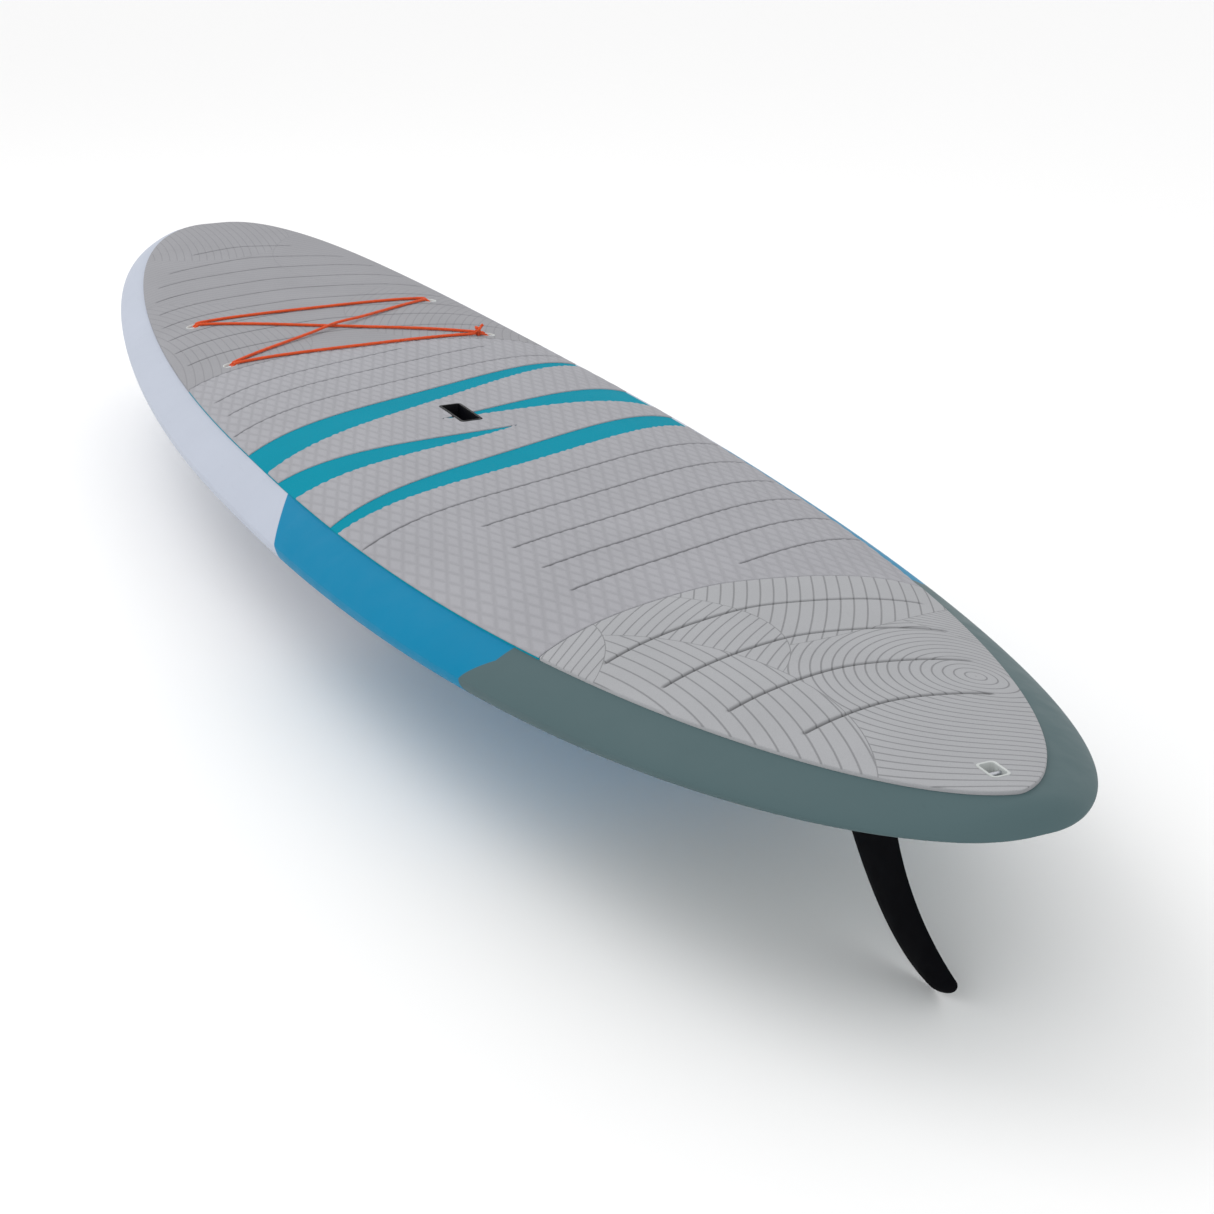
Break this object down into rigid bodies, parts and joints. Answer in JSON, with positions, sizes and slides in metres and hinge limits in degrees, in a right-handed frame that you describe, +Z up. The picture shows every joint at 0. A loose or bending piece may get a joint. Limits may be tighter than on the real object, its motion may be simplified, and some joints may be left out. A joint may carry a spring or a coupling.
{
  "type": "stand up paddleboard",
  "caption": "Long rounded board with a grooved foam deck pad, carry handle, bungee tie-down, leash cup and a centre fin that slides in its box.",
  "frame": {"origin": "on the flat of the hull's bottom, on the centreline at mid-length", "axes": "+X towards the nose, +Y to port (the rider's left), +Z up through the deck"},
  "size_m": [3.2, 0.813, 0.335],
  "materials": {
    "eps_foam": "expanded bead foam",
    "stringer_wood": "sawn",
    "hull_skin": "satin paint: white to blue to grey green along the length",
    "deck_skin": "satin paint: white to blue to grey green along the length",
    "pad_grey": "closed-cell foam, brushed, with soft moulded grooves",
    "pad_teal": "closed-cell foam, brushed",
    "pad_grey_embossed": "closed-cell foam, embossed with small diamonds",
    "pad_grey_tail": "closed-cell foam, embossed with fine contour lines",
    "black_moulding": "moulded, satin",
    "white_moulding": "moulded, satin",
    "steel": "stainless",
    "bungee_braid": "braided sheath",
    "fin_black": "glass-filled nylon, satin",
    "brass_plate": "plain"
  },
  "bodies": {
    "board": {"core_port": "eps_foam", "core_starboard": "eps_foam", "stringer": "stringer_wood", "hull_skin": "hull_skin", "deck_skin": "deck_skin", "nose_pad": "pad_grey", "mid_pad_base": "pad_teal", "mid_pad_top": "pad_grey_embossed", "tail_pad": "pad_grey_tail", "handle_cup": "black_moulding", "bungee_plug_front_port": "white_moulding", "bungee_plug_front_starboard": "white_moulding", "bungee_plug_rear_port": "white_moulding", "bungee_plug_rear_starboard": "white_moulding", "bungee_plug_pins": "steel", "bungee_cord": "bungee_braid", "bungee_knot": "bungee_braid", "leash_cup": "white_moulding", "leash_pin": "steel", "fin_box": "black_moulding"},
    "fin": {"fin": "fin_black", "roll_pin": "steel"},
    "fin_screw": {"fin_screw": "steel"},
    "nut_plate": {"nut_plate": "brass_plate"}
  },
  "joints": [
    {"name": "fin_slide", "type": "slide", "parent": "board", "child": "fin", "axis": [0.9944, 0, -0.1054], "range_m": [-0.031, 0.0335]},
    {"name": "fin_screw_turn", "type": "hinge", "parent": "fin", "child": "fin_screw", "pos_m": [-1.15687, 0, 0.04899], "axis": [-0.1054, 0, -0.9944], "range_deg": [0, 1080]},
    {"name": "nut_plate_lift", "type": "slide", "parent": "fin", "child": "nut_plate", "axis": [0.1054, 0, 0.9944], "range_m": [0, 0.0021]}
  ],
  "couplings": [
    {"joint": "fin_screw_turn", "follows": "nut_plate_lift", "rad_per_m": 8976}
  ]
}
